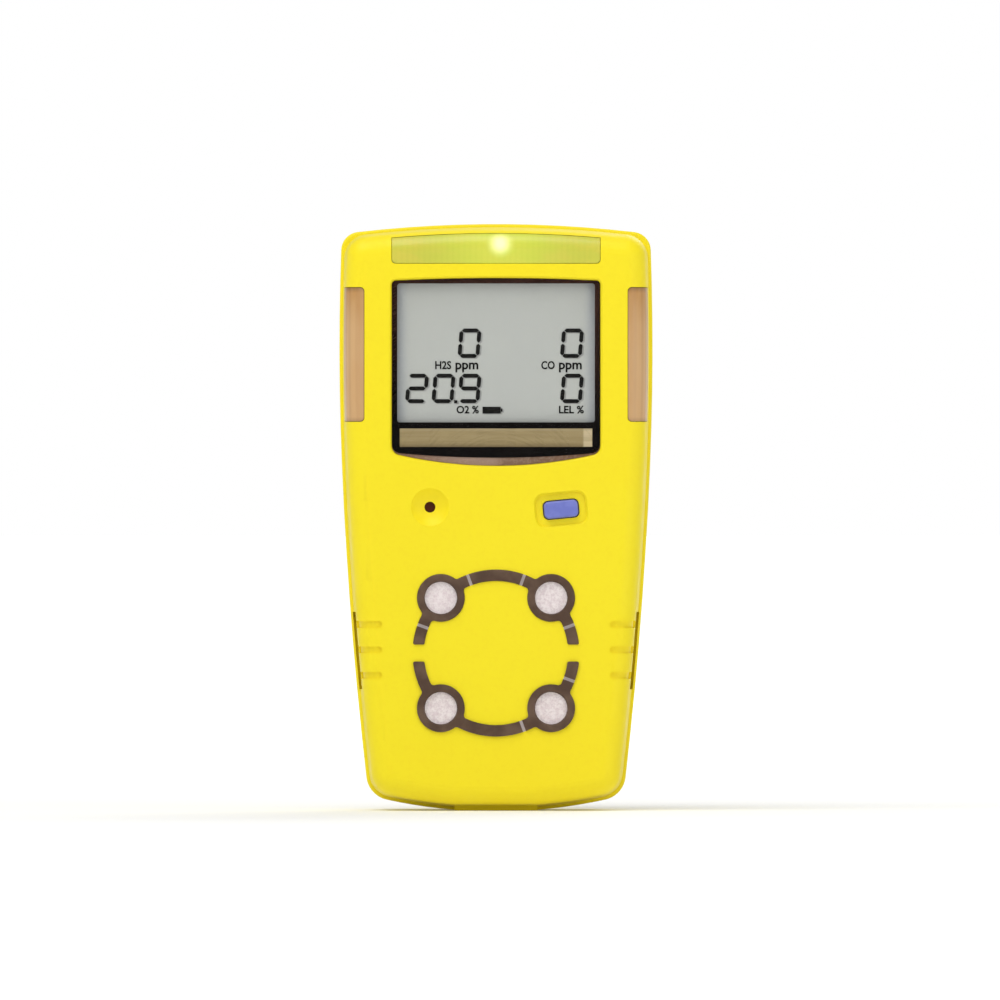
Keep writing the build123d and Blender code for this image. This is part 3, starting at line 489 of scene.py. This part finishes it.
def display_outlines():
    """Every lit shape of the display but its small lettering."""
    rows = [("0", -5.1, 87.1), ("0", 14.6, 87.1), ("2", -15.2, 78.4), ("0", -10.1, 78.4), ("9", -5.1, 78.4),
            ("0", 14.6, 78.4)]
    shapes = [outline for c, x, z in rows for outline in digit_outlines(c, x * MM, z * MM)]
    point = Vector((-7.75 * MM, 78.65 * MM))
    shapes.append(rectangle(point.x - 0.32 * MM, point.x + 0.32 * MM, point.y - 0.3 * MM, point.y + 0.3 * MM))
    shapes.append(rectangle(-2.6 * MM, 0.9 * MM, 76.4 * MM, 77.7 * MM))
    shapes.append(rectangle(0.95 * MM, 1.25 * MM, 76.75 * MM, 77.35 * MM))
    return shapes


def display_pieces():
    """Digits, their soft shadow and the small lettering, on the front face of the display."""
    face_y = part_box("lcd_panel")[0].y
    black, shade = segment_black().material, segment_shade().material
    bm = bmesh.new()
    for outline in display_outlines():
        add_prism(bm, outline, face_y - 0.060 * MM, face_y - 0.002 * MM)
    mesh_object("lcd_digits", bm, black, "housing")

    drop = Vector((0.30 * MM, -0.16 * MM))
    bm = bmesh.new()
    for outline in display_outlines():
        moved = [(x + drop.x, z + drop.y) for x, z in outline]
        add_prism(bm, moved, face_y - 0.020 * MM, face_y - 0.001 * MM)
    mesh_object("lcd_digit_shadows", bm, shade, "housing")

    # Each word, with the millimetres that it fills: left, right, low and high
    words = [("H2S", -11.7, -8.6, 84.9, 86.5), ("ppm", -7.8, -3.4, 84.3, 86.2),
             ("CO", 8.7, 11.3, 84.9, 86.5), ("ppm", 12.1, 16.5, 84.3, 86.2),
             ("O2 %", -7.6, -3.3, 76.4, 77.9), ("LEL %", 12.1, 16.9, 76.4, 77.9)]
    for number, (word, *limits) in enumerate(words):
        x0, x1, z0, z1 = [value * MM for value in limits]
        letters(f"lcd_label_{number}", word, (x0, x1), (z0, z1), face_y, black)


def letters(name, word, across, up, face_y, material):
    """A small generic unit or gas symbol in plain lettering, as a thin mesh that fills its place."""
    curve = bpy.data.curves.new(name, "FONT")
    curve.body = word
    curve.extrude = 0.02
    curve.offset = 0.025
    curve.resolution_u = 3
    text = bpy.data.objects.new(name, curve)
    bpy.context.scene.collection.objects.link(text)
    bpy.context.view_layer.update()
    data = bpy.data.meshes.new_from_object(text)
    bpy.data.objects.remove(text)
    xs, ys = [v.co.x for v in data.vertices], [v.co.y for v in data.vertices]
    wide, tall = (across[1] - across[0]) / (max(xs) - min(xs)), (up[1] - up[0]) / (max(ys) - min(ys))
    for v in data.vertices:
        x = across[0] + (v.co.x - min(xs)) * wide
        z = up[0] + (v.co.y - min(ys)) * tall
        v.co = (x, face_y - 0.03 * MM - v.co.z * MM, z)
    data.flip_normals()
    data.name = name
    data.materials.clear()
    data.materials.append(material)
    made = bpy.data.objects.new(name, data)
    bpy.context.scene.collection.objects.link(made)
    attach(made, "housing")


# ---------------------------------------------------------------- clip spring
def clip_spring(material):
    """The torsion spring as one wound wire, standing for the CAD node's plain turns."""
    low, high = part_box("clip_spring")
    pin_low, pin_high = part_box("clip_pin")
    centre = (pin_low + pin_high) / 2
    wire, turn = 0.4 * MM, 2.1 * MM
    turns, steps = 7.5, 28
    half = 3.1 * MM
    path = [Vector((-half, low.y + wire, high.z - 2.6 * MM)),
            Vector((-half, centre.y - turn, centre.z + 1.2 * MM))]
    for i in range(int(turns * steps) + 1):
        angle = math.pi + 2 * math.pi * i / steps
        x = -half + 2 * half * i / (turns * steps)
        path.append(Vector((x, centre.y + turn * math.cos(angle), centre.z - turn * math.sin(angle))))
    path.append(Vector((half, centre.y + turn, centre.z + 1.4 * MM)))
    path.append(Vector((half, centre.y + turn + 0.2 * MM, centre.z + 5.5 * MM)))
    curve = bpy.data.curves.new("clip_spring_wire", "CURVE")
    curve.dimensions = "3D"
    curve.bevel_depth = wire
    curve.bevel_resolution = 4
    curve.use_fill_caps = True
    spline = curve.splines.new("POLY")
    spline.points.add(len(path) - 1)
    for point, co in zip(spline.points, path):
        point.co = (*co, 1)
    drawn = bpy.data.objects.new("clip_spring_path", curve)
    bpy.context.scene.collection.objects.link(drawn)
    bpy.context.view_layer.update()
    data = bpy.data.meshes.new_from_object(drawn)
    bpy.data.objects.remove(drawn)
    data.polygons.foreach_set("use_smooth", [True] * len(data.polygons))
    data.materials.clear()
    data.materials.append(material)
    made = bpy.data.objects.new("clip_spring_wire", data)
    bpy.context.scene.collection.objects.link(made)
    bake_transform(made)
    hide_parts("clip_spring")


# ---------------------------------------------------------------- finishes on the CAD nodes
def gasket_ticks():
    """The gasket's six cross grooves: the middle of each, and its direction along the track."""
    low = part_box("lower_sensor_gasket")[0]
    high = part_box("upper_sensor_gasket")[1]
    centre_z = (low.z + high.z) / 2
    track_radius = 14.95 * MM
    ticks = []
    for angle in (20, 70, 110, 160, 290, 340):
        across, up = math.cos(math.radians(angle)), math.sin(math.radians(angle))
        middle = (track_radius * across, low.y + 0.3 * MM, centre_z + track_radius * up)
        ticks.append((middle, (-up, 0, across)))
    return ticks


def finish_nodes():
    """Gives every CAD node in the record its material, by its slot."""
    lens_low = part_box("top_status_lens")[0]
    lamp = (0.8 * MM, lens_low.y, lens_low.z + 4.7 * MM)
    by_slot = {
        "casing_yellow": casing_yellow(),
        "gasket_rubber": gasket_rubber(gasket_ticks()),
        "seal_rubber": seal_rubber(),
        "clear_window": clear_window(),
        "mask_black": mask_black(),
        "tape_white": tape_white(),
        "nameplate_khaki": nameplate_khaki(*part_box("nameplate")),
        "lcd_grey": lcd_grey(*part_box("lcd_panel")),
        "lens_amber": lens_amber("lens_amber", *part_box("left_alarm_lens")),
        "lens_green": lens_green(lamp),
        "led_white": moulded("led_white", srgb(236, 230, 206), srgb(214, 206, 170), 0.3),
        "button_blue": button_blue(),
        "filter_white": filter_white(),
        "mesh_black": mesh_black(),
        "sensor_shell": moulded("sensor_shell", srgb(206, 205, 200), srgb(184, 184, 180)),
        "steel": plated_steel("steel", srgb(196, 196, 194), 0.3, grain=(1, 1, 1)),
        "clip_steel": plated_steel("clip_steel", srgb(204, 203, 200), 0.3),
        "brass": warm_metal("brass", srgb(206, 170, 96), 0.32),
        "gold": warm_metal("gold", srgb(232, 190, 100), 0.22),
        "board_green": board_green(),
        "black_plastic": moulded("black_plastic", srgb(30, 30, 33), srgb(44, 44, 47), 0.42),
        "white_plastic": moulded("white_plastic", srgb(232, 232, 228), srgb(214, 214, 210)),
        "battery_wrap": battery_wrap(),
        "foam_black": foam_black(),
        "lead_red": lead_red(),
        "label_silver": label_silver(*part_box("rear_label")),
        "infrared_black": infrared_black(),
    }
    for part in frame["record"]["subparts"]:
        data = nodes[part["node"]].data
        finish = by_slot[part["material_slot"]]
        data.materials.clear()
        data.materials.append(finish.material)
    return by_slot


# ---------------------------------------------------------------- floor, light and camera
def stage():
    """A plain pale floor. It gives light far from the object, so that it meets the surround without a line."""
    m = Finish("floor", srgb(240, 240, 238), 0.7, Specular_IOR_Level=0.2)
    m.tint(m.ramp(m.noise(0.4, 3), 0.4, 0.7, 0, 0.3), srgb(236, 236, 234))
    m.glow(srgb(255, 255, 255), m.ramp(m.distance((0, 0, 0)), 0, 2.5, 0.08, 0.8, smooth=False))
    bm = bmesh.new()
    bmesh.ops.create_grid(bm, x_segments=4, y_segments=4, size=30)
    floor = mesh_object("floor", bm, m.material, None)


def sky():
    """An even white surround: full white behind the object, softer as a light."""
    world = bpy.data.worlds.new("surround")
    bpy.context.scene.world = world
    world.use_nodes = True
    tree = world.node_tree
    tree.nodes.clear()
    output = tree.nodes.new("ShaderNodeOutputWorld")
    choose = tree.nodes.new("ShaderNodeMixShader")
    path = tree.nodes.new("ShaderNodeLightPath")
    light, seen = tree.nodes.new("ShaderNodeBackground"), tree.nodes.new("ShaderNodeBackground")
    light.inputs["Color"].default_value = (1, 1, 1, 1)
    light.inputs["Strength"].default_value = 0.45
    seen.inputs["Color"].default_value = (1, 1, 1, 1)
    seen.inputs["Strength"].default_value = 1.0
    tree.links.new(path.outputs["Is Camera Ray"], choose.inputs[0])
    tree.links.new(light.outputs[0], choose.inputs[1])
    tree.links.new(seen.outputs[0], choose.inputs[2])
    tree.links.new(choose.outputs[0], output.inputs["Surface"])


def softbox(name, place, size, power, target):
    """A square soft light that faces the target."""
    data = bpy.data.lights.new(name, "AREA")
    data.shape = "SQUARE"
    data.size = size
    data.energy = power
    lamp = bpy.data.objects.new(name, data)
    bpy.context.scene.collection.objects.link(lamp)
    lamp.location = place
    lamp.rotation_euler = (Vector(target) - Vector(place)).to_track_quat("-Z", "Y").to_euler()


def camera():
    """Straight at the front face from far away, with the object at the photograph's size and height."""
    face_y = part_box("window_lens")[0].y
    away, seen_width, sensor = 4.0, 0.1922, 36.0
    data = bpy.data.cameras.new("camera")
    data.sensor_width = sensor
    data.lens = sensor * away / seen_width
    data.clip_start, data.clip_end = 0.01, 200
    view = bpy.data.objects.new("camera", data)
    bpy.context.scene.collection.objects.link(view)
    view.location = (0.77 * MM, face_y - away, 59.77 * MM)
    view.rotation_euler = (math.radians(90), 0, 0)
    bpy.context.scene.camera = view


finishes = finish_nodes()
display_pieces()
clip_spring(finishes["steel"].material)
stage()
sky()
middle = (cad_bounds[0] + cad_bounds[1]) / 2
softbox("key", (-0.6, -0.95, 1.9), 1.7, 30.0, middle)
softbox("fill", (1.5, -1.6, 0.6), 1.2, 6.0, middle)
softbox("back", (0.7, 1.7, 1.2), 1.2, 13.0, middle)
camera()
bpy.context.scene.view_settings.view_transform = "Standard"
